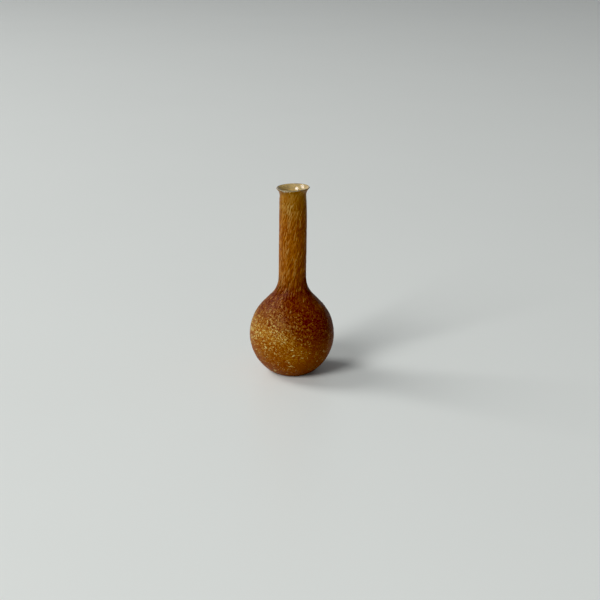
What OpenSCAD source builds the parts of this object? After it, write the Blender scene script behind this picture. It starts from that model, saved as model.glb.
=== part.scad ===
// Hand-blown bud vase: a round bulb, a long narrow neck and a flared lip.
// Three layers of glass are fused face to face. The inner vessel is clear straw glass
// and holds the water. The amber coat is a continuous skin of brown-amber glass. The
// frit layer is crushed pale glass, melted on last. Both skins stop just under the lip,
// and the foot is ground flat through them, so the vase stands on the inner vessel.
// The origin is at the centre of the foot, where the vase stands. +Z is up.

/* [Overall] */
// Height from the foot to the top of the lip
vase_h = 170; // [140:1:210]

/* [Bulb] */
// Widest radius of the bulb
bulb_r = 38; // [31:0.5:46]
// Height of the widest ring above the foot
bulb_z = 34.8; // [32:0.1:37]
// Radius of the round stretch above the widest ring
upper_arc_r = 42; // [34:0.5:51]
// Radius of the round stretch below the widest ring
lower_arc_r = 40.3; // [38.5:0.1:49]

/* [Shoulder] */
// Angle of the shoulder's steepest line away from upright
shoulder_angle = 43.5; // [36:0.5:53]
// Radius of the hollow curve where the shoulder runs into the neck
shoulder_fillet_r = 23.5; // [10:0.5:29]

/* [Neck] */
// Radius of the straight hole through the neck
bore_r = 9.6; // [7.5:0.1:12]
// Thickness of the neck's wall, all layers together
neck_wall = 2.7; // [2:0.1:3.4]
// How much slimmer than the neck the waist under the lip is, in radius
waist_in = 0.45; // [0:0.05:0.8]
// Length over which the neck narrows to its waist
waist_len = 24; // [8:1:40]

/* [Lip] */
// How far the lip stands out past the neck
lip_out = 2.35; // [1.4:0.05:4]
// Thickness of the lip's rounded edge
lip_t = 1.2; // [0.8:0.1:2.6]
// Radius of the flare on the outside
flare_r = 7.5; // [5:0.1:10]
// Radius of the flare on the inside
mouth_flare_r = 10; // [8:0.1:13]

/* [Glass layers] */
// Thickness of the bulb's wall at its widest ring, all layers together
bulb_wall = 3.2; // [2:0.1:5]
// Thickness of glass under the lowest point of the hollow
base_t = 7; // [4:0.5:10]
// Thickness of the amber coat
coat_t = 0.45; // [0.3:0.05:0.8]
// Thickness of the frit layer on the amber coat
frit_t = 0.25; // [0.15:0.05:0.5]
// Bare height of the lip above the upper edge of both skins
bare_lip_h = 1.6; // [1.2:0.1:4]

/* [Foot] */
// Radius of the shallow dish polished into the ground foot
dish_r = 12; // [6:0.5:15]
// Depth of that dish at its centre
dish_depth = 0.5; // [0.3:0.1:1]

/* [Hidden] */

$fn = 96;
arc_step = 4;                                  // degrees between points on an arc
over = 1;                                      // how far a cut runs past a face
neck_r = bore_r + neck_wall;                   // outer radius of the neck
waist_r = neck_r - waist_in;                   // outer radius of the waist
lip_r = neck_r + lip_out;                      // outer radius of the lip
coat_top_z = vase_h - bare_lip_h;              // height of the skins' upper edge
lip_c = [lip_r - lip_t / 2, vase_h - lip_t / 2];   // centre of the lip's rounded edge

// Points on a round stretch about centre c, from angle a to angle b
function arc(c, r, a, b) =
    let (n = max(2, ceil(abs(b - a) / arc_step)))
    [for (i = [0:n]) let (t = a + (b - a) * i / n) c + r * [cos(t), sin(t)]];

// The same list without its first point, where that repeats the end of another stretch
function rest_of(pts) = [for (i = [1:len(pts) - 1]) pts[i]];

// Direction from point a to point b, in degrees
function heading(a, b) = atan2(b[1] - a[1], b[0] - a[0]);

// From the widest ring up to a pipe: a round stretch, the shoulder's straight line, and
// the hollow curve that ends upright at the pipe's radius
function fillet_c(ring_r, arc_r, pipe_r, fillet_r) =
    let (out = [cos(shoulder_angle), sin(shoulder_angle)],
         line_start = [ring_r - arc_r, bulb_z] + arc_r * out,
         run = (line_start[0] + fillet_r * out[0] - pipe_r - fillet_r) / out[1])
    line_start + run * [-out[1], out[0]] + fillet_r * out;

function shoulder(ring_r, arc_r, pipe_r, fillet_r) =
    concat(arc([ring_r - arc_r, bulb_z], arc_r, 0, shoulder_angle),
           arc(fillet_c(ring_r, arc_r, pipe_r, fillet_r), fillet_r,
               180 + shoulder_angle, 180));

// Centre of a flare that leaves a pipe upright and touches the lip's rounded edge;
// reach is the distance between that centre and the centre of the edge
function flare_c(pipe_r, r, reach) =
    let (dx = pipe_r + r - lip_c[0])
    [pipe_r + r, lip_c[1] - sqrt(reach * reach - dx * dx)];
outer_flare_c = flare_c(waist_r, flare_r, flare_r + lip_t / 2);
mouth_flare_c = flare_c(bore_r, mouth_flare_r, mouth_flare_r - lip_t / 2);

// Outside of the vase, moved inwards by d, from the ground foot to the end of the flare
function skin(d) =
    let (low_c = [bulb_r - lower_arc_r, bulb_z],
         low_r = lower_arc_r - d)
    concat(arc(low_c, low_r, -asin(bulb_z / low_r), 0),
           rest_of(shoulder(bulb_r - d, upper_arc_r - d, neck_r - d,
                            shoulder_fillet_r + d)),
           [[neck_r - d, outer_flare_c[1] - waist_len]],
           arc(outer_flare_c, flare_r + d, 180, heading(outer_flare_c, lip_c)));

// Solid outline of everything inside the skin moved inwards by d
module filled_outline(d) {
    side = skin(d);
    polygon(concat([[0, 0]], side, [[0, side[len(side) - 1][1]]]));
}

// Outline of the lip's rounded edge and all glass between it and the axis
module lip_outline() {
    edge = arc(lip_c, lip_t / 2, heading(outer_flare_c, lip_c) - 180, 90);
    polygon(concat([[0, edge[0][1]]], edge, [[0, vase_h]]));
}

// Outline of the space inside: round-bottomed bulb, straight bore and flared mouth
module hollow_outline() {
    ring_r = bulb_r - bulb_wall;
    depth = bulb_z - base_t;
    bowl = [for (t = [0:arc_step:90 - arc_step])
            [ring_r * sin(t), bulb_z - depth * cos(t)]];
    mouth_end = heading(mouth_flare_c, lip_c);
    polygon(concat(bowl,
                   shoulder(ring_r, upper_arc_r - bulb_wall, bore_r,
                            shoulder_fillet_r + bulb_wall),
                   arc(mouth_flare_c, mouth_flare_r, 180, mouth_end),
                   rest_of(arc(lip_c, lip_t / 2, mouth_end, 90)),
                   [[lip_c[0], vase_h + over], [0, vase_h + over]]));
}

// Outline of the dish polished into the foot, as an arc through its rim and its centre
module dish_outline() {
    r = (dish_r * dish_r + dish_depth * dish_depth) / (2 * dish_depth);
    half_angle = asin(dish_r / r);
    polygon(concat([[0, -over], [dish_r, -over]],
                   arc([0, dish_depth - r], r, 90 - half_angle, 90)));
}

// Everything above the upper edge of the skins
module bare_zone() {
    translate([0, coat_top_z]) square([2 * lip_r, 2 * bare_lip_h]);
}

// One closed skin, from d_out to d_in inside the outer surface
module skin_layer(d_out, d_in) {
    rotate_extrude() difference() {
        filled_outline(d_out);
        filled_outline(d_in);
        bare_zone();
    }
}

// Straw glass vessel: ground foot, thick base, round hollow, bore, bare flared lip
module inner_glass() {
    color([0.78, 0.75, 0.58, 0.5])
    rotate_extrude() difference() {
        union() {
            difference() {
                filled_outline(frit_t + coat_t);
                bare_zone();
            }
            intersection() {
                union() {
                    filled_outline(0);
                    lip_outline();
                }
                bare_zone();
            }
        }
        hollow_outline();
        dish_outline();
    }
}

// Continuous skin of brown-amber glass on the inner vessel
module amber_coat() {
    color([0.42, 0.20, 0.04]) skin_layer(frit_t, frit_t + coat_t);
}

// Crushed pale and golden grains melted onto the amber coat
module frit_layer() {
    color([0.72, 0.50, 0.18]) skin_layer(0, frit_t);
}

inner_glass();
amber_coat();
frit_layer();
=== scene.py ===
from math import ceil, cos, pi, radians, sin

import bpy
import numpy as np
from bpy.props import FloatProperty, FloatVectorProperty, IntProperty, PointerProperty
from mathutils import Euler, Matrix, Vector


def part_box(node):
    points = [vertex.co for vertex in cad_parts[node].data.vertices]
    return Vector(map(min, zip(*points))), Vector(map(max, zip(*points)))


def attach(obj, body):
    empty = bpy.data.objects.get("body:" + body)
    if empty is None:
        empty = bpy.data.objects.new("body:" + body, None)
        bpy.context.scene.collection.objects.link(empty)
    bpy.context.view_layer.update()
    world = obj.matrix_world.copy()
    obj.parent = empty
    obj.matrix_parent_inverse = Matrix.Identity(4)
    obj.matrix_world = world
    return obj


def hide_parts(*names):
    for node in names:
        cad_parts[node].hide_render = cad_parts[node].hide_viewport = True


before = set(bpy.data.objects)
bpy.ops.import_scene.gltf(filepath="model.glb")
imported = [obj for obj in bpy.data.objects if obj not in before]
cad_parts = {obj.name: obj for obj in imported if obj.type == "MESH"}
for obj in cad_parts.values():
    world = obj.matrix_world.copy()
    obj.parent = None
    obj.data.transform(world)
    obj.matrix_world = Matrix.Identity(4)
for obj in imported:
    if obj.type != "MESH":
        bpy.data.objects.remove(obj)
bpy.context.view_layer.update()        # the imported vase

bl_info = {
    "name": "Hand-blown bud vase",
    "version": (1, 0, 0),
    "blender": (4, 5, 0),
    "location": "3D View > Sidebar > Bud vase",
    "description": "Builds the glass layers of a hand-blown bud vase round its packed solids",
    "category": "Add Mesh",
}

MM = 0.001
BAKE_MAP = "OFBake"                # name of the map through which a piece's colours can be baked
BODY = "root"                      # the vase has no moving part

SIDES = 8                          # corners of a grain's rim
INNER_RING = 0.62                  # size of the ring inside a grain's rim, as a share of it
LONGEST_GRAIN = 3.5                # longest half length, in typical half widths
RIM_SUNK = 0.03 * MM               # how far a grain's rim is sunk in the coat
UNDER_SUNK = 0.06 * MM             # how far its underside is

VASE_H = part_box("inner_glass")[1].z
BULB_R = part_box("frit_layer")[1].x
FRIT_T = BULB_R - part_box("amber_coat")[1].x
COAT_INSET = FRIT_T * 0.8          # depth of the coat under the vase's outside
COAT_AT_LIP = 0.03 * MM            # depth of the coat at the lip
COAT_SUNK = 0.06 * MM              # how far the coat's back goes into the vessel
TEETH_RUN = 8 * MM                 # end of the coat that is stretched to make its teeth
EDGE_RUN = 0.9 * MM                # end of the coat that dips
EDGE_DIP = 0.16 * MM               # how far it dips at its ragged edge
LIP_INSET = 0.12 * MM              # depth of the bare lip
LIP_STARTS = 9 * MM                # from the crest down to where the layers begin to rise
LIP_FULL = 6 * MM                  # from the crest down to where they have all risen
SKINS_T = BULB_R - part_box("inner_glass")[1].x
CREST_RUN = 0.8 * MM               # end of the run, on which the bare lip rises to the skin
LIP_ROWS = 44                      # rows of faces on each side of the finely cut lip
INSIDE_SKIP = 8                    # how many times longer the faces further in are
TIP_ROWS = 15                      # rows of the coat's back that lie as close as its front's
COAT_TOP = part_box("frit_layer")[1].z


# ---------------------------------------------------------------- outlines

def section(node):
    """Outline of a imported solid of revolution, as rows of radius and height.

    The outline is made of the mesh edges that lie in the half plane y = 0, x >= 0. Points
    closer than a tenth of a micron are one point, and the edges are chained end to end,
    from an end on the axis if there is one, or else from the lowest, outermost point.
    """
    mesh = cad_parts[node].data
    place = np.zeros(len(mesh.vertices) * 3)
    mesh.vertices.foreach_get("co", place)
    place = place.reshape(-1, 3)
    ends = np.zeros(len(mesh.edges) * 2, int)
    mesh.edges.foreach_get("vertices", ends)
    ends = ends.reshape(-1, 2)
    flat = (abs(place[:, 1]) < 1e-7) & (place[:, 0] > -1e-7)
    ends = ends[flat[ends].all(1)]
    points, same = np.unique(np.round(place[:, [0, 2]], 7), axis=0, return_inverse=True)
    links = np.unique(np.sort(same.reshape(-1)[ends], axis=1), axis=0)
    links = links[links[:, 0] != links[:, 1]]
    near = {}
    for a, b in links.tolist():
        near.setdefault(a, []).append(b)
        near.setdefault(b, []).append(a)
    tips = [p for p in near if len(near[p]) == 1]
    first = min(tips or near, key=lambda p: (points[p][1], -points[p][0]))
    chain = [first, max(near[first], key=lambda p: points[p][1])]
    while True:
        ahead = [p for p in near[chain[-1]] if p != chain[-2]]
        if not ahead or ahead[0] == first:
            return points[chain]
        chain.append(ahead[0])


def hermite(points, step):
    """Even points along one smooth stretch.

    Between two points the path is a cubic. Its direction at a point is the mean of the
    directions of the two edges there, each weighted by the other edge's length.
    """
    edge = np.diff(points, axis=0)
    gap = np.hypot(*edge.T)[:, None]
    way = edge / gap
    inner = (gap[1:] * way[:-1] + gap[:-1] * way[1:]) / (gap[1:] + gap[:-1])
    way = np.vstack([way[:1], inner, way[-1:]])
    at = np.concatenate([[0], np.cumsum(gap)])
    want = np.linspace(0, at[-1], max(2, ceil(at[-1] / step) + 1))
    i = np.clip(np.searchsorted(at, want, side="right") - 1, 0, len(edge) - 1)
    g = gap[i]
    t = (want[:, None] - at[i][:, None]) / g
    return (points[i] * (2 * t ** 3 - 3 * t ** 2 + 1) + points[i + 1] * (3 * t ** 2 - 2 * t ** 3)
            + way[i] * g * (t ** 3 - 2 * t ** 2 + t) + way[i + 1] * g * (t ** 3 - t ** 2))


def smooth_path(points, step, longest=4 * MM, corner=25):
    """Even points along an outline, round where it is round and sharp at its corners.

    Edges over the longest length are first cut into equal parts. The outline is then
    split wherever it turns by more than the corner angle, in degrees.
    """
    points = np.asarray(points, float)
    gap = np.hypot(*np.diff(points, axis=0).T)
    parts = np.maximum(1, np.ceil(gap / longest).astype(int))
    start = np.repeat(np.arange(len(gap)), parts)
    share = np.concatenate([np.arange(n) / n for n in parts])[:, None]
    cut = points[start] + (points[start + 1] - points[start]) * share
    points = np.vstack([cut, points[-1:]])
    edge = np.diff(points, axis=0)
    way = np.unwrap(np.arctan2(edge[:, 1], edge[:, 0]))
    sharp = np.flatnonzero(abs(np.diff(way)) > radians(corner)) + 1
    ends = [0, *sharp.tolist(), len(points) - 1]
    runs = [hermite(points[a:b + 1], step) for a, b in zip(ends[:-1], ends[1:])]
    return np.vstack([runs[0]] + [run[1:] for run in runs[1:]])


class Skin:
    """Outside of the whole vase, from the foot to the crest of the lip.

    Every value is kept against the run, the distance up the outline from the foot:
    radius, height, outward normal, how far the glass was pulled out on the way to the
    neck, and how far the pull twisted it round the axis. The inside is the rest of the
    vessel's outline, from the crest down the bore to the middle of the hollow's floor.
    """

    def __init__(self, lean):
        coated = section("frit_layer")
        vessel = section("inner_glass")
        # The coated outside ends at the frit's highest point, the outermost if there are
        # two, and the underside at the vessel's lowest point, again the outermost.
        coated = coated[:int(np.argmax(coated[:, 1] * 1e3 + coated[:, 0])) + 1]
        self.under = vessel[:int(np.argmax(vessel[:, 0] - vessel[:, 1] * 1e3)) + 1]
        crest = int(np.argmax(vessel[:, 1]))
        self.inside = vessel[crest:]
        # The bare lip goes on from the second point above the level where the frit stops.
        step = int(np.flatnonzero(vessel[:, 1] >= COAT_TOP - MM / 1e3)[0])
        side = smooth_path(np.vstack([coated, vessel[step + 2:crest + 1]]), 0.1 * MM)
        edge = np.gradient(side, axis=0)
        edge /= np.hypot(*edge.T)[:, None]
        self.r, self.z = side.T
        self.nr, self.nz = edge[:, 1], -edge[:, 0]
        self.run = np.concatenate([[0], np.cumsum(np.hypot(*np.diff(side, axis=0).T))])
        self.top = self.run[-1]
        # Above the widest ring the glass was pulled out the more, the narrower it is now,
        # and the twist sets in once it is pulled out 1.3 times.
        above = self.z > self.z[np.argmax(self.r)]
        self.pull = np.where(above, (BULB_R / self.r) ** 1.5, 1)
        drawn = np.clip((self.pull - 1.3) / 2, 0, 1)
        self.flow = self.summed(1 / self.pull)
        self.twist = self.summed(lean * drawn / self.r)

    def summed(self, rate):
        """Running total of a rate over the run."""
        steps = np.diff(self.run) * (rate[1:] + rate[:-1]) / 2
        return np.concatenate([[0], np.cumsum(steps)])

    def at(self, run, name):
        """One of the kept values at any run."""
        return np.interp(run, self.run, getattr(self, name))

    def outline(self, run, depth):
        """Radius and height of points at a run and a depth below the skin."""
        r = self.at(run, "r") - self.at(run, "nr") * depth
        z = self.at(run, "z") - self.at(run, "nz") * depth
        return np.stack([r, z], -1)

    def near_lip(self, run):
        """0 on most of the vase and 1 on the lip, where each layer comes up to the surface."""
        return ease(run, self.top - LIP_STARTS, self.top - LIP_FULL)

    def vessel_depth(self, run):
        """Depth of the inner vessel's outer face."""
        return SKINS_T + (LIP_INSET - SKINS_T) * self.near_lip(run)

    def coat_depth(self, run):
        """Depth of the coat's outer face."""
        return COAT_INSET + (COAT_AT_LIP - COAT_INSET) * self.near_lip(run)

    def place(self, run, turn, depth):
        """Points at a run, a turn about the axis in radians and a depth below the skin."""
        r, z = np.moveaxis(self.outline(run, depth), -1, 0)
        return round_axis(r, turn, z)

    def flow_place(self, run, turn, inset=0):
        """Where points lay before the glass was pulled out and twisted into the neck."""
        spun = turn - self.at(run, "twist")
        return round_axis(self.at(run, "r") - inset, spun, self.at(run, "flow"))


def round_axis(r, turn, z):
    """Points at a radius, a turn about the axis in radians and a height."""
    return np.stack(np.broadcast_arrays(r * np.cos(turn), r * np.sin(turn), z), -1)


def ease(x, low, high):
    """Smooth step from 0 at low to 1 at high."""
    t = np.clip((x - low) / (high - low), 0, 1)
    return t * t * (3 - 2 * t)


def ripple(turn, run, seed, waves=6, finest=9):
    """Smooth uneven field, mostly between -1 and 1, that closes round the axis.

    It is a sum of sines. Each has a whole number of waves round the axis, up to the
    finest, a slant in radians per metre of run, and a phase, all drawn from the seed.
    """
    rng = np.random.default_rng(seed)
    total = 0
    for around in rng.integers(1, finest + 1, waves):
        along, phase = rng.uniform(-260, 260), rng.uniform(0, 2 * pi)
        total = total + np.sin(around * turn + along * run + phase)
    return total / waves ** 0.5 / 1.5


def by_hand(place, s):
    """Moves points as a blown vase differs from a turned one.

    The section is oval by a fraction of a millimetre, only ever inwards and mostly from
    front to back. The neck bows a little to +X, most at four fifths of the vase's height,
    and the lip dips towards -X.
    """
    x, y, z = np.moveaxis(place, -1, 0)
    turn = np.arctan2(y, x)
    oval = 1 - s.oval / BULB_R * (1 - np.cos(2 * turn + 0.6 * z / VASE_H)) / 2
    neck = ease(z, 0.5 * VASE_H, 0.8 * VASE_H) * (1 - ease(z, 0.8 * VASE_H, VASE_H))
    dip = s.lip_dip * (1 - np.cos(turn)) / 2 * ease(z, 0.92 * VASE_H, VASE_H)
    return np.stack([x * oval + s.neck_bow * neck, y * oval, np.maximum(z - dip, 0)], -1)


# ---------------------------------------------------------------- meshes

def make_mesh(name, points, faces, uv, material, slot=None, node=None, fields=()):
    """Mesh object from arrays of points, triangles and quads, and map places per corner.

    With a slot and a node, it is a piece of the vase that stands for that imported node.
    Fields are named values per point: one number each, or three for a vector.
    """
    mesh = bpy.data.meshes.new(name)
    sizes = np.concatenate([np.full(len(f), f.shape[1]) for f in faces])
    corners = np.concatenate([f.reshape(-1) for f in faces])
    mesh.vertices.add(len(points))
    mesh.vertices.foreach_set("co", points.astype(np.float32).reshape(-1))
    mesh.loops.add(len(corners))
    mesh.loops.foreach_set("vertex_index", corners.astype(np.int32))
    mesh.polygons.add(len(sizes))
    starts = np.concatenate([[0], np.cumsum(sizes)[:-1]])
    mesh.polygons.foreach_set("loop_start", starts.astype(np.int32))
    mesh.update(calc_edges=True)
    mesh.uv_layers.new(name=BAKE_MAP)
    mesh.uv_layers[BAKE_MAP].uv.foreach_set("vector", uv.astype(np.float32).reshape(-1))
    for field, values in fields:
        kind, key = ("FLOAT_VECTOR", "vector") if values.ndim > 1 else ("FLOAT", "value")
        layer = mesh.attributes.new(field, kind, "POINT")
        layer.data.foreach_set(key, values.astype(np.float32).reshape(-1))
    mesh.polygons.foreach_set("use_smooth", np.ones(len(sizes), bool))
    if mesh.validate(verbose=False):
        raise RuntimeError(f"{name} has faulty faces")
    piece = bpy.data.objects.new(name, mesh)
    bpy.context.scene.collection.objects.link(piece)
    mesh.materials.append(material)
    if slot:
        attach(piece, BODY)
        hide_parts(node)
    return piece


def lathe_faces(rows, columns, poles):
    """Faces and map places of a grid turned round the axis.

    With poles, the first and last rows are single points. Without, the last row joins the
    first, as in a tube bent into a ring. Map places run round the axis and along the rows.
    """
    def index(row, column):
        """Number of the point in a row and a column."""
        if poles:
            return 1 + (row - 1) * columns + column
        return (row % rows) * columns + column

    def pairs(u, v):
        """Map places from their two parts."""
        return np.stack(np.broadcast_arrays(u, v), -1)

    col = np.arange(columns)
    nxt = (col + 1) % columns
    row = np.arange(1, rows - 2)[:, None] if poles else np.arange(rows)[:, None]
    above = row + 1
    quads = np.stack([index(row, col), index(row, nxt), index(above, nxt), index(above, col)], -1)
    u0, u1 = col / columns, (col + 1) / columns
    v0, v1 = row / rows, above / rows
    uv = np.stack([pairs(u0, v0), pairs(u1, v0), pairs(u1, v1), pairs(u0, v1)], -2)
    faces, uvs = [quads.reshape(-1, 4)], [uv.reshape(-1, 2)]
    if poles:                      # a fan of triangles closes the grid at either end
        middle = (u0 + u1) / 2
        ring, ring_v = 1, 1 / rows
        faces.append(np.stack([0 * col, index(ring, nxt), index(ring, col)], -1))
        low = [pairs(middle, 0.0), pairs(u1, ring_v), pairs(u0, ring_v)]
        ring, ring_v = rows - 2, (rows - 2) / rows
        pole, pole_v = 1 + ring * columns, (rows - 1) / rows
        faces.append(np.stack([index(ring, col), index(ring, nxt), 0 * col + pole], -1))
        high = [pairs(u0, ring_v), pairs(u1, ring_v), pairs(middle, pole_v)]
        uvs += [np.stack(fan, -2).reshape(-1, 2) for fan in (low, high)]
    return faces, np.concatenate(uvs)


# ---------------------------------------------------------------- materials

class Sum:
    """A shader value that can be added to, multiplied and so on in plain expressions."""

    def __init__(self, tree, socket):
        self.tree, self.socket = tree, socket

    def math(self, operation, a, b):
        """Math node on two values."""
        return self.tree.add("ShaderNodeMath", {"operation": operation}, {0: a, 1: b})

    def __add__(self, other):
        return self.math("ADD", self, other)

    def __sub__(self, other):
        return self.math("SUBTRACT", self, other)

    def __mul__(self, other):
        return self.math("MULTIPLY", self, other)

    def __truediv__(self, other):
        return self.math("DIVIDE", self, other)

    def __pow__(self, other):
        return self.math("POWER", self, other)

    def __rsub__(self, other):
        return self.math("SUBTRACT", other, self)

    __radd__ = __add__
    __rmul__ = __mul__

    def between(self, low, high):
        """Smooth step from 0 at low to 1 at high."""
        return self.tree.add("ShaderNodeMapRange", {"interpolation_type": "SMOOTHSTEP"},
                             {"Value": self, "From Min": low, "From Max": high})


class Glaze:
    """Nodes of a material or of the room's light."""

    def __init__(self, owner):
        owner.use_nodes = True
        self.owner = owner
        self.tree = owner.node_tree
        self.tree.nodes.clear()

    def node(self, kind, settings, sockets):
        """New node: first its settings, then the values or links of its sockets."""
        node = self.tree.nodes.new(kind)
        for key, value in settings.items():
            if key == "stops":
                ramp = node.color_ramp
                for place, colour in value[1:-1]:
                    ramp.elements.new(place).color = (*colour, 1)
                for element, (place, colour) in zip(ramp.elements, value):
                    element.position, element.color = place, (*colour, 1)
            else:
                setattr(node, key, value)
        for key, value in sockets.items():
            if isinstance(value, Sum):
                self.tree.links.new(value.socket, node.inputs[key])
            else:
                node.inputs[key].default_value = value
        return node

    def add(self, kind, settings=None, sockets=None, out=0):
        """The same, giving one of the node's outputs as a value to go on with."""
        return Sum(self, self.node(kind, settings or {}, sockets or {}).outputs[out])

    def place(self):
        """Object coordinates: where a point of the piece lies, in metres."""
        return self.add("ShaderNodeTexCoord", out="Object")

    def kept(self, name, out="Fac"):
        """Value that the mesh keeps at its points under a name."""
        return self.add("ShaderNodeAttribute", {"attribute_name": name}, out=out)

    def bump(self, strength, distance, height):
        """Normal of a surface raised by a height field, by at most a distance in metres."""
        return self.add("ShaderNodeBump", {},
                        {"Strength": strength, "Distance": distance, "Height": height})

    def parts(self, vector):
        """The three parts of a vector."""
        split = self.node("ShaderNodeSeparateXYZ", {}, {"Vector": vector})
        return [Sum(self, part) for part in split.outputs]

    def noise(self, vector, scale, detail=2.0, roughness=0.5):
        """Cloudy field of about 0 to 1, with a scale in waves per metre."""
        return self.add("ShaderNodeTexNoise", {},
                        {"Vector": vector, "Scale": scale, "Detail": detail,
                         "Roughness": roughness})

    def mix(self, share, a, b):
        """Colour a where the share is 0 and colour b where it is 1."""
        return self.add("ShaderNodeMix", {"data_type": "RGBA"}, {0: share, 6: a, 7: b}, 2)

    def ramp(self, share, stops):
        """Colour at a share between stops, which are pairs of a share and a colour."""
        return self.add("ShaderNodeValToRGB", {"stops": stops}, {"Fac": share})

    def output(self, surface, volume=None):
        """Ends the tree in a surface node and, inside clear glass, a volume node."""
        end = self.tree.nodes.new("ShaderNodeOutputMaterial")
        self.tree.links.new(surface.outputs[0], end.inputs["Surface"])
        if volume:
            self.tree.links.new(volume.outputs[0], end.inputs["Volume"])
        return self.owner


def rgba(colour):
    """A colour with full opacity."""
    return (*colour, 1)


def height_share(g):
    """Height on the vase, 0 at the foot and 1 at the lip."""
    return g.parts(g.place())[2] / VASE_H


def toward(g, direction):
    """1 on the side of the vase in a direction, in degrees round the axis, else 0, softly."""
    x, y, _ = g.parts(g.place())
    around = g.add("ShaderNodeMath", {"operation": "ARCTAN2"}, {0: y, 1: x})
    turned = around - radians(direction)
    return g.add("ShaderNodeMath", {"operation": "COSINE"}, {0: turned}).between(0.2, 1.0)


def colour_height(g, s):
    """Height share by which the glass is coloured: cloudy, and raised on the bulb's side away from the
    windows, which paints shade there over a real darker patch.
    """
    level = height_share(g)
    bulb = level.between(0.0, 0.15) * (1 - level.between(0.35, 0.5))
    cloud = g.noise(g.place(), 70) - 0.5
    # painted shade in part: on the bulb's side away from the windows the shoulder's darker colours reach
    # lower
    return level + cloud * 0.09 + toward(g, s.shaded_dark_turn) * bulb * 0.13


def straw_glass(s):
    """Clear straw glass: smooth, with slow waves, tinted by its thickness."""
    g = Glaze(bpy.data.materials.new("straw_glass"))
    waves = g.noise(g.place(), 90, 1)
    seeds = g.noise(g.place(), 700)
    glass = g.node("ShaderNodeBsdfPrincipled", {}, {
        "Base Color": rgba(s.haze), "Transmission Weight": 0.75, "IOR": 1.5,
        "Roughness": 0.02 + 0.05 * seeds,
        "Normal": g.bump(0.1, 0.15 * MM, waves + seeds * 0.12)})
    tint = g.node("ShaderNodeVolumeAbsorption", {},
                  {"Color": rgba(s.straw), "Density": s.straw_depth})
    return g.output(glass, tint)


# Height shares at which the glass has the dark and pale colours of each part of the vase.
TONES = ((0.1, "foot"), (0.275, "bulb"), (0.375, "shoulder"), (0.47, "shoulder"),
         (0.56, "neck"), (0.8, "neck"), (1.0, "lip"))


def glass_tones(g, s, grain):
    """Colour of the melted glass, where grain is 0 in its dark parts and 1 in its pale ones.

    Dark and pale colours both change with height: amber at the foot, gold at the widest
    ring, red-brown on the shoulder, amber again on the neck and olive gold under the lip.
    On the bulb's side away from the windows the pale colour is nearly the shoulder's: painted shade over a
    real darker patch.
    """
    height = colour_height(g, s)
    dark, pale = [g.ramp(height, [(at, getattr(s, f"{part}_{tone}")) for at, part in TONES])
                  for tone in ("dark", "pale")]
    # painted shade in part: on the bulb's side away from the windows the pale colour turns to the
    # shoulder's
    low = toward(g, s.shaded_dark_turn + 15) * (1 - height.between(0.35, 0.5))
    pale = g.mix(low * 0.8, pale, rgba(s.shoulder_pale))
    return g.mix(grain, dark, pale)


def amber_glass(s):
    """Mottled brown-amber glass: small melted cells, drawn out with the glass on the neck.

    The coat's hidden face has a pale colour that shows through the clear vessel: painted glow of light let
    through the coat, brighter on the side towards the back window.
    """
    g = Glaze(bpy.data.materials.new("amber_glass"))
    flow = g.kept("flow", "Vector")
    cells = g.add("ShaderNodeTexVoronoi", {"feature": "SMOOTH_F1"},
                  {"Vector": flow, "Scale": 1.15 / MM, "Smoothness": 0.35}, "Color")
    tone = g.add("ShaderNodeSeparateColor", {}, {"Color": cells}, "Red")
    powder = g.noise(flow, 1.9 / MM, roughness=0.6)
    clouds = g.noise(flow, 0.11 / MM)
    bend = g.noise(flow, 0.5 / MM, 1) - 0.5
    curl = (bend * bend).between(0.004, 0.0)
    grain = tone * 0.4 + powder * 0.6 + curl * 0.35 + clouds * 0.6
    grain = (grain - 0.55).between(0.08, 0.85)
    # painted glow: the hidden face's colour stands in for light let through the coat, brightest on the side
    # towards the back window
    glow_lining = g.mix(toward(g, s.shaded_dark_turn + 180), rgba(s.glow_lining), rgba(s.window_glow_lining))
    colour = g.mix(g.kept("inner"), glass_tones(g, s, grain), glow_lining)
    neck = height_share(g).between(0.42, 0.6)
    relief = (tone * 0.6 + powder) * (1 - neck * 0.5)
    surface = g.node("ShaderNodeBsdfPrincipled", {}, {
        "Base Color": colour, "Specular IOR Level": 0.07, "Coat Roughness": 0.1,
        "Roughness": 0.42 - neck * 0.12 + powder * 0.12 - clouds * 0.06,
        "Coat Weight": 0.01 + neck * 0.03, "Normal": g.bump(0.55, 0.12 * MM, relief)})
    return g.output(surface)


def grain_glass(name, s, low, high):
    """Glass of single melted grains.

    The tone kept with each grain is spread from low to high. From 0 to 1 it goes from the
    dark to the pale colour, and from 0.75 on towards cream, less so above the widest ring and on the bulb's
    side away from the windows, where that is painted shade over a real darker patch.
    """
    g = Glaze(bpy.data.materials.new(name))
    cloud = g.noise(g.kept("flow", "Vector"), 1.2 / MM, roughness=0.6)
    share = g.kept("tone") * (high - low) + low + (cloud - 0.5) * 0.9
    # colour_height carries painted shade: cream is also dulled on the bulb's side away from the windows
    dull = colour_height(g, s).between(0.27, 0.37)
    cream = share.between(0.75, 1.25) * s.cream_share * (1 - dull * 0.8)
    colour = g.mix(cream, glass_tones(g, s, share.between(0.0, 1.0)), rgba(s.cream))
    surface = g.node("ShaderNodeBsdfPrincipled", {}, {
        "Base Color": colour, "Specular IOR Level": 0.07, "Coat Roughness": 0.1,
        "Coat Weight": 0.02, "Roughness": 0.3 + cloud * 0.15,
        "Normal": g.bump(0.3, 0.08 * MM, cloud)})
    return g.output(surface)


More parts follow.
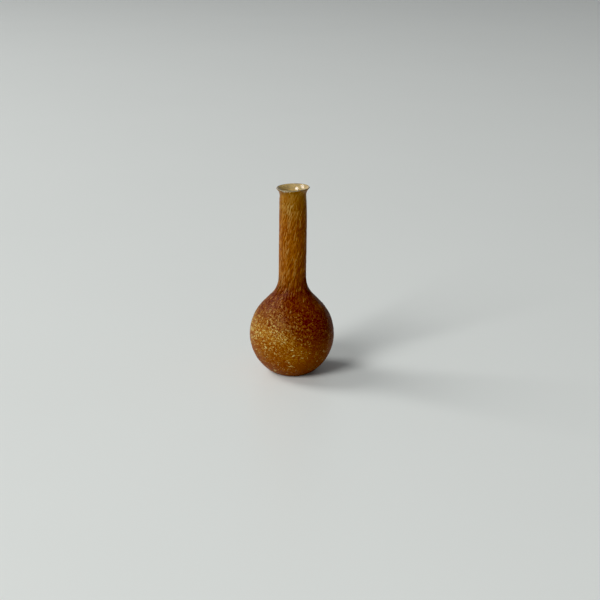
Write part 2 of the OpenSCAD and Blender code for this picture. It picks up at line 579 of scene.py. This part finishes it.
def table_white(s):
    """Pale lacquered table: even, faintly cloudy, with a soft sheen."""
    g = Glaze(bpy.data.materials.new("table_white"))
    cloud = g.noise(g.place(), 3, 3)
    fine = g.noise(g.place(), 220, 3, 0.7)
    pale = g.mix(cloud, rgba([0.97 * c for c in s.table]), rgba(s.table))
    surface = g.node("ShaderNodeBsdfPrincipled", {}, {
        "Base Color": pale, "Roughness": 0.32 + fine * 0.08, "Specular IOR Level": 0.4,
        "Normal": g.bump(0.05, 0.1 * MM, fine)})
    return g.output(surface)


# ---------------------------------------------------------------- settings

def size_prop(name, note, default):
    return FloatProperty(name=name, description=note, default=default, unit="LENGTH",
                         precision=5)


def colour_prop(name, note, default):
    return FloatVectorProperty(name=name, description=note, default=default, size=3, min=0,
                               max=1, subtype="COLOR")


class VaseSettings(bpy.types.PropertyGroup):
    """Sizes and colours of the vase."""
    columns: IntProperty(name="Columns", description="Faces round the axis", default=256)
    glass_step: size_prop("Glass step", "Length of a face of the inner vessel", 1.6 * MM)
    coat_step: size_prop("Coat step", "Length of a face of the amber coat", 0.75 * MM)
    oval: size_prop("Oval", "How far the section is out of round", 0.3 * MM)
    neck_bow: size_prop("Neck bow", "How far the neck bows sideways", 0.25 * MM)
    lip_dip: size_prop("Lip dip", "How far the lip dips on its low side", 1.0 * MM)
    tooth: size_prop("Coat teeth", "Length of the ragged teeth that end the coat", 2.2 * MM)
    lip_run: size_prop("Lip run", "Length of the finely cut outline at the lip", 10 * MM)
    coat_stop: size_prop("Coat stop", "Where the coat ends, down from the crest", 0.12 * MM)
    bare_gap: size_prop("Bare gap", "Further bare glass where the coat ends lowest", 1.0 * MM)
    bare_turn: FloatProperty(name="Bare turn", description="Direction, in degrees round the "
                             "axis, in which the coat ends lowest", default=248)
    lean: FloatProperty(name="Streak lean", description="Sideways run of the streaks per "
                        "length of neck", default=0.27)
    grain_size: size_prop("Grain size", "Typical half width of a grain on the bulb",
                          0.5 * MM)
    slimness: FloatProperty(name="Slimness", description="How much longer than wide grains "
                            "are, on average", default=0.8)
    cream_count: IntProperty(name="Cream grains", description="Number of cream grains",
                             default=1100)
    gold_count: IntProperty(name="Gold grains", description="Number of golden grains",
                            default=4800)
    brown_count: IntProperty(name="Brown grains", description="Number of brown grains",
                             default=1800)
    straw: colour_prop("Straw", "Tint of the clear glass", (0.62, 0.6, 0.3))
    straw_depth: FloatProperty(name="Straw depth", description="Strength of that tint per "
                               "metre", default=14)
    haze: colour_prop("Haze", "Colour of the clear glass's faint haze", (0.8, 0.68, 0.42))
    foot_dark: colour_prop("Foot, dark", "Dark glass at the foot", (0.15, 0.03, 0.002))
    foot_pale: colour_prop("Foot, pale", "Pale glass at the foot", (0.255, 0.08, 0.007))
    bulb_dark: colour_prop("Bulb, dark", "Dark glass of the bulb", (0.165, 0.031, 0.0015))
    bulb_pale: colour_prop("Bulb, pale", "Pale glass of the bulb", (0.355, 0.185, 0.024))
    shoulder_dark: colour_prop("Shoulder, dark", "Dark glass of the shoulder",
                               (0.075, 0.007, 0.001))
    shoulder_pale: colour_prop("Shoulder, pale", "Pale glass of the shoulder",
                               (0.2, 0.06, 0.009))
    neck_dark: colour_prop("Neck, dark", "Dark glass of the neck", (0.15, 0.035, 0.002))
    neck_pale: colour_prop("Neck, pale", "Pale glass of the neck", (0.27, 0.092, 0.009))
    lip_dark: colour_prop("Lip, dark", "Dark glass under the lip", (0.2, 0.075, 0.004))
    lip_pale: colour_prop("Lip, pale", "Pale glass under the lip", (0.3, 0.17, 0.03))
    # painted glow: the lining colours are paler than the coat and stand in for light let through it; the
    # thin one is brighter still on the side towards the back window
    glow_lining: colour_prop("Lining", "Coat seen through the clear glass", (0.7, 0.54, 0.24))
    window_glow_lining: colour_prop("Lining, thin", "The same where the coat looks thinner",
                             (1.0, 0.8, 0.34))
    # painted shade in part: the bulb's side in this direction, away from the windows, takes the shoulder's
    # darker colours over a real darker patch
    shaded_dark_turn: FloatProperty(name="Dark turn", description="Direction, in degrees round the "
                             "axis, in which the shoulder's dark glass reaches lowest",
                             default=322)
    # painted light in part: pale and cream grains crowd on the window side, over a real pale patch
    lit_pale_turn: FloatProperty(name="Pale turn", description="Direction, in degrees round the "
                             "axis, on which pale grains are most crowded", default=208)
    cream: colour_prop("Cream", "Palest grains", (0.5, 0.41, 0.15))
    cream_share: FloatProperty(name="Cream share", description="How much of the cream "
                               "shows", default=0.85, min=0, max=1, subtype="FACTOR")


class StageSettings(bpy.types.PropertyGroup):
    """Table, lights and camera."""
    table: colour_prop("Table", "Colour of the table", (0.745, 0.78, 0.78))
    table_radius: size_prop("Table radius", "Half the table's width", 14)
    sky: colour_prop("Room", "Colour of the room's light", (0.965, 0.985, 0.98))
    sky_low: FloatProperty(name="Room, dim side", description="Room light from the right",
                           default=0.06)
    sky_high: FloatProperty(name="Room, bright side", description="Room light from the left",
                            default=0.24)
    wall_light: FloatProperty(name="Wall light", description="Light of the room's pale "
                              "walls", default=0.78)
    front_power: FloatProperty(name="Front window", description="Power of the window on the "
                               "front left", default=277, unit="POWER")
    back_power: FloatProperty(name="Back window", description="Power of the window on the "
                              "back left", default=177, unit="POWER")
    lens: FloatProperty(name="Lens", description="Focal length in millimetres", default=75.5,
                        unit="CAMERA")
    black_point: FloatProperty(name="Black point", description="Light that counts as black",
                               default=0.01)
    camera_back: size_prop("Camera distance", "Distance from the axis, level", 1.0675)
    camera_up: size_prop("Camera height", "Height above the table", 0.4193)
    camera_side: size_prop("Camera offset", "Distance to the right of the axis", 0.007)
    camera_pitch: FloatProperty(name="Camera pitch", description="Tilt below level",
                                default=radians(18.3), subtype="ANGLE")
    camera_roll: FloatProperty(name="Camera roll", description="Turn about the view",
                               default=radians(0.55), subtype="ANGLE")


# ---------------------------------------------------------------- operators

class BUDVASE_OT_inner_glass(bpy.types.Operator):
    """Inner vessel of clear straw glass, with its hollow, bore, foot and bare lip."""
    bl_idname = "budvase.inner_glass"
    bl_label = "Inner vessel"

    def execute(self, context):
        s = context.scene.vase
        skin = Skin(s.lean)
        body = np.arange(1, (skin.top - s.lip_run) / s.glass_step) * s.glass_step
        fine = s.lip_run / LIP_ROWS
        lip = np.arange(skin.top - s.lip_run, skin.top - fine / 2, fine)
        run = np.concatenate([body, lip])
        crest = ease(run, skin.top - CREST_RUN, skin.top)
        outside = skin.outline(run, skin.vessel_depth(run) * (1 - crest))
        inside = smooth_path(skin.inside, fine)
        coarse = inside[LIP_ROWS:-1:INSIDE_SKIP]
        inside = np.vstack([inside[:LIP_ROWS], coarse, inside[-1:]])
        path = np.vstack([smooth_path(skin.under, s.glass_step), outside, inside])
        path[[0, -1], 0] = 0
        turn = np.arange(s.columns) / s.columns * 2 * pi
        r, z = path[1:-1].T[..., None]
        low_pole, high_pole = [0, 0, path[0, 1]], [0, 0, path[-1, 1]]
        points = np.vstack([low_pole, round_axis(r, turn, z).reshape(-1, 3), high_pole])
        faces, uv = lathe_faces(len(path), s.columns, True)
        make_mesh("vase_inner_glass", by_hand(points, s), faces, uv, straw_glass(s),
                  "straw_glass", "inner_glass")
        return {"FINISHED"}


class BUDVASE_OT_amber_coat(bpy.types.Operator):
    """Continuous amber coat, closed on itself, with a ragged upper edge.

    Teeth of bare glass cut into the edge, longest in the direction in which the coat ends
    lowest. The first rows lie on the outside, upwards, and the rest on the back, downwards.
    """
    bl_idname = "budvase.amber_coat"
    bl_label = "Amber coat"

    def execute(self, context):
        s = context.scene.vase
        skin = Skin(s.lean)
        stop = skin.top - s.coat_stop
        up = np.linspace(0, stop, ceil(stop / s.coat_step))
        tip = up[:-TIP_ROWS - 1:-1]
        down = np.concatenate([tip, np.linspace(up[-TIP_ROWS - 1], 0, len(up) // 4)])
        run = np.concatenate([up, down])[:, None]
        outer = (np.arange(len(run)) < len(up))[:, None]
        turn = np.arange(s.columns)[None] / s.columns * 2 * pi
        bare = 0.5 + 0.5 * np.cos(turn - radians(s.bare_turn))
        teeth = s.tooth * (0.5 + 0.5 * np.clip(ripple(turn, 0, 5, 9, 34), -1, 1))
        teeth = teeth * (0.16 + 0.84 * bare ** 12) + s.bare_gap * bare ** 16
        run = run - teeth * ease(run, stop - TEETH_RUN, stop)
        edge = ease(stop - teeth - run, 0, EDGE_RUN)
        front = skin.coat_depth(run) + (1 - edge) * EDGE_DIP
        back = skin.vessel_depth(run) + COAT_SUNK
        points = skin.place(run, turn, np.where(outer, front, back))
        flow = skin.flow_place(run, turn, np.where(outer, 0, SKINS_T))
        inner = np.where(outer, 0.0, 1.0) + 0 * turn
        faces, uv = lathe_faces(len(run), s.columns, False)
        make_mesh("vase_amber_coat", by_hand(points.reshape(-1, 3), s), faces, uv,
                  amber_glass(s), "amber_glass", "amber_coat",
                  [("flow", flow.reshape(-1, 3)), ("inner", inner.reshape(-1))])
        return {"FINISHED"}


def strew(rng, skin, s, count, seed, where, lean):
    """Run and turn of the middle of each grain, in patches.

    where(run) says how crowded the grains are at a run, and lean how much more crowded
    they are on the vase's pale side, which faces the windows: a real pale patch, partly painted light.
    Three times as many places are drawn as are kept.
    """
    crowd = skin.summed(np.clip(where(skin.run), 0, None) * skin.r)
    run = np.interp(rng.uniform(0, crowd[-1], count * 3), crowd, skin.run)
    turn = rng.uniform(0, 2 * pi, count * 3)
    # painted light in part: grains gather on the side that faces the windows
    patch = ripple(turn, run, seed + 1, 8, 11) + lean * np.cos(turn - radians(s.lit_pale_turn))
    keep = np.argsort(rng.uniform(0, 1, count * 3) - 0.35 * patch)[:count]
    return run[keep][:, None], turn[keep][:, None]


def chips(rng, s, count, size):
    """Flat outlines of rough rounded chips, each bent like a grain of rice and turned.

    A row holds a chip's rim, the ring inside it, its crown and its underside, as distances
    along the flow of the glass and across it.
    """
    corner = (np.arange(SIDES) + rng.uniform(-0.25, 0.25, (count, SIDES))) / SIDES * 2 * pi
    half_width = size * rng.lognormal(0, 0.2, (count, 1))
    half_length = half_width * (1 + rng.exponential(s.slimness, (count, 1)))
    half_length = np.minimum(half_length, size * LONGEST_GRAIN)
    uneven = rng.uniform(0.8, 1.2, (count, SIDES))
    a, b = half_length * np.cos(corner) * uneven, half_width * np.sin(corner) * uneven
    bend = rng.uniform(-0.6, 0.6, (count, 1)) / half_length
    spin = rng.uniform(0, pi, (count, 1))
    middle = np.zeros((count, 2))
    a, b = np.hstack([a, a * INNER_RING, middle]), np.hstack([b, b * INNER_RING, middle])
    b = b + bend * (a * a - half_length ** 2 / 3)
    return a * np.cos(spin) - b * np.sin(spin), a * np.sin(spin) + b * np.cos(spin)


def grain_field(skin, s, count, seed, size, where, lean):
    """Closed, flattened grains strewn over the skin, as arrays ready for a mesh.

    Each grain is a chip drawn out along the flow of the glass and laid on the skin, up to
    where the lip begins to flare. Its rim and underside are sunk in the amber coat, and its
    inner ring and crown stand up from it, at most to the skin.
    """
    rng = np.random.default_rng(seed)
    run, turn = strew(rng, skin, s, count, seed, where, lean)
    a, b = chips(rng, s, count, size)
    pull = skin.at(run, "pull")
    a, b = a * pull * rng.uniform(0.6, 1.2, (count, 1)), b * pull ** -0.2
    stop = np.maximum(run + 0.3 * MM, skin.top - rng.uniform(9, 14, (count, 1)) * MM)
    far = np.clip(run + a, 0.1 * MM, stop)
    rise = rng.uniform(0.35, 0.97, (count, 1))
    ones = np.ones((count, SIDES))
    share = np.hstack([0 * ones, 0.8 * rise * ones, rise, 0 * rise])
    sunk = np.hstack([RIM_SUNK * ones, 0 * ones, 0 * rise, UNDER_SUNK + 0 * rise])
    depth = skin.coat_depth(far) * (1 - share) + sunk
    swing = skin.at(far, "twist") - skin.at(run, "twist")
    aside = b / skin.at(far, "r")
    place = skin.place(far, turn + swing + aside, depth)
    tone = np.repeat(rng.uniform(0, 1, (count, 1)), a.shape[1], 1)
    flow = skin.flow_place(far, turn + swing + aside)
    return place, tone, flow, a, b


def grain_faces(count):
    """Faces of that many grains: sides, crown and underside, all triangles and quads."""
    i = np.arange(SIDES)
    j = (i + 1) % SIDES
    crown, under = 2 * SIDES, 2 * SIDES + 1
    quads = np.stack([i, i + SIDES, j + SIDES, j], -1)
    top = np.stack([i + SIDES, 0 * i + crown, j + SIDES], -1)
    low = np.stack([i, j, 0 * i + under], -1)
    first = np.arange(count)[:, None, None] * (2 * SIDES + 2)
    return [(first + part).reshape(-1, part.shape[1]) for part in (quads, np.vstack([top, low]))]


def grain_map(faces, a, b, count):
    """Map places of grains: each has a square of its own, and lies in it as on the skin."""
    across = ceil(count ** 0.5)
    cell = np.arange(count)
    reach = np.maximum(abs(a).max(1), abs(b).max(1))[:, None] * 2.6
    u = (cell % across)[:, None] + 0.5 + a / reach
    v = (cell // across)[:, None] + 0.5 + b / reach
    place = np.stack([u, v], -1).reshape(-1, 2) / across
    return np.concatenate([place[f.reshape(-1)] for f in faces])


class BUDVASE_OT_frit_grains(bpy.types.Operator):
    """Melted grains of cream, golden and brown glass on the amber coat."""
    bl_idname = "budvase.frit_grains"
    bl_label = "Frit grains"

    def execute(self, context):
        s = context.scene.vase
        skin = Skin(s.lean)

        def above(run, low, high):
            """Smooth step from 0 at the low to 1 at the high share of the vase's height."""
            return ease(skin.at(run, "z") / VASE_H, low, high)

        def shoulder(run):
            """1 on the shoulder, where grains are few, and 0 below and above it."""
            return above(run, 0.3, 0.4) * (1 - above(run, 0.46, 0.54))

        def below_lip(run):
            """1 up to the flare of the lip, which has no grain's middle on it."""
            return 1 - ease(run, skin.top - 15 * MM, skin.top - 10 * MM)

        def cream(run):
            foot, neck = 1 - above(run, 0.1, 0.27), above(run, 0.5, 0.6)
            return (1 - 0.75 * shoulder(run) - 0.9 * foot - 0.35 * neck) * below_lip(run)

        def gold(run):
            return (1 - 0.6 * shoulder(run)) * below_lip(run)

        # Name, count, seed, half width, crowding up the vase, crowding on its pale side facing
        # the windows (partly painted light), lowest tone and highest tone.
        kinds = (
            ("cream", s.cream_count, 11, s.grain_size * 1.15, cream, 2.0, 0.7, 1.4),
            ("gold", s.gold_count, 23, s.grain_size * 1.1, gold, 0.3, 0.0, 1.02),
            ("brown", s.brown_count, 37, s.grain_size, below_lip, -0.3, -0.1, 0.35),
        )
        for name, count, seed, size, where, lean, low, high in kinds:
            place, tone, flow, a, b = grain_field(skin, s, count, seed, size, where, lean)
            faces = grain_faces(count)
            uv = grain_map(faces, a, b, count)
            make_mesh(f"vase_{name}_grains", by_hand(place.reshape(-1, 3), s), faces, uv,
                      grain_glass(f"{name}_frit", s, low, high), "pale_frit",
                      "frit_layer", [("tone", tone.reshape(-1)), ("flow", flow.reshape(-1, 3))])
        return {"FINISHED"}


class BUDVASE_OT_stage(bpy.types.Operator):
    """Pale table, window light from the left and the camera."""
    bl_idname = "budvase.stage"
    bl_label = "Stage"

    def execute(self, context):
        s = context.scene.stage
        self.lay_table(s)
        self.light_room(context, s)
        self.hang_window("front_window", azimuth=228, height=34, power=s.front_power)
        self.hang_window("back_window", azimuth=162, height=40, power=s.back_power)
        self.set_camera(context, s)
        self.set_film(context, s)
        return {"FINISHED"}

    def lay_table(self, s):
        """Round table: rings of faces, each ring 1.6 times as wide as the last.

        The fan that would close the grid beyond its widest ring is left out.
        """
        rings = s.table_radius * 1.6 ** -np.arange(14.0)[::-1]
        columns = 96
        turn = np.arange(columns) / columns * 2 * pi
        points = round_axis(rings[:, None], turn, 0.0).reshape(-1, 3)
        faces, _ = lathe_faces(len(rings) + 2, columns, True)
        top = [part[:, ::-1] for part in faces[:2]]
        uv = np.zeros((sum(part.size for part in top), 2))
        table = make_mesh("table", np.vstack([[0, 0, 0], points]), top, uv, table_white(s))

    def light_room(self, context, s):
        """Room light: pale walls level with the vase, and above them a bright left side."""
        world = bpy.data.worlds.new("room")
        room = Glaze(world)
        x, _, z = room.parts(room.add("ShaderNodeTexCoord", out="Generated"))
        side = (x * -0.5 + 0.5).between(0.0, 1.0)
        above = side * (s.sky_high - s.sky_low) + s.sky_low
        wall = z.between(0.45, 0.1)
        light = above + wall * (s.wall_light * (0.6 + side * 0.4) - above)
        back = room.node("ShaderNodeBackground", {}, {"Color": rgba(s.sky), "Strength": light})
        end = room.tree.nodes.new("ShaderNodeOutputWorld")
        room.tree.links.new(back.outputs[0], end.inputs["Surface"])
        context.scene.world = world

    def hang_window(self, name, azimuth, height, power):
        """Area light seen from the vase at an azimuth and a height above level, in degrees.

        It is 2.4 m wide, 3.2 m tall and 6 m from a point a third of the way up the vase.
        """
        wide, tall, distance = 2.4, 3.2, 6
        lamp = bpy.data.lights.new(name, "AREA")
        lamp.shape, lamp.size, lamp.size_y, lamp.energy = "RECTANGLE", wide, tall, power
        lamp.color = (1.0, 0.985, 0.95)
        around, up = radians(azimuth), radians(height)
        aim = Vector((cos(up) * cos(around), cos(up) * sin(around), sin(up)))
        window = bpy.data.objects.new(name, lamp)
        window.location = aim * distance + Vector((0, 0, VASE_H / 3))
        window.rotation_euler = aim.to_track_quat("Z", "Y").to_euler()
        window.visible_camera = False
        bpy.context.scene.collection.objects.link(window)

    def set_film(self, context, s):
        """Plain view of the light as it is, with deep blacks."""
        view = context.scene.view_settings
        view.view_transform = "Standard"
        view.use_curve_mapping = True
        view.curve_mapping.black_level = (s.black_point,) * 3
        view.curve_mapping.update()

    def set_camera(self, context, s):
        """Camera in front of the vase, level with its view, then pitched and rolled."""
        data = bpy.data.cameras.new("camera")
        data.lens, data.sensor_width, data.clip_end = s.lens, 36, 60
        camera = bpy.data.objects.new("camera", data)
        camera.location = (s.camera_side, -s.camera_back, s.camera_up)
        level = Euler((pi / 2 - s.camera_pitch, 0, 0)).to_matrix()
        camera.rotation_euler = (level @ Euler((0, 0, s.camera_roll)).to_matrix()).to_euler()
        context.scene.collection.objects.link(camera)
        context.scene.camera = camera


class BUDVASE_PT_panel(bpy.types.Panel):
    """Sidebar panel of the bud vase"""
    bl_idname = "BUDVASE_PT_panel"
    bl_label = "Bud vase"
    bl_space_type = "VIEW_3D"
    bl_region_type = "UI"
    bl_category = "Bud vase"

    def draw(self, context):
        layout = self.layout
        for operator in OPERATORS:
            layout.operator(operator.bl_idname)
        for group in (context.scene.vase, context.scene.stage):
            for name in group.__annotations__:
                layout.prop(group, name)


OPERATORS = (BUDVASE_OT_inner_glass, BUDVASE_OT_amber_coat, BUDVASE_OT_frit_grains,
             BUDVASE_OT_stage)
CLASSES = (VaseSettings, StageSettings, *OPERATORS, BUDVASE_PT_panel)


def register():
    for cls in CLASSES:
        bpy.utils.register_class(cls)
    bpy.types.Scene.vase = PointerProperty(type=VaseSettings)
    bpy.types.Scene.stage = PointerProperty(type=StageSettings)


def unregister():
    del bpy.types.Scene.vase, bpy.types.Scene.stage
    for cls in reversed(CLASSES):
        bpy.utils.unregister_class(cls)


def main():
    """Builds everything."""
    register()
    bpy.ops.budvase.inner_glass()
    bpy.ops.budvase.amber_coat()
    bpy.ops.budvase.frit_grains()
    bpy.ops.budvase.stage()


if __name__ == "__main__":
    main()
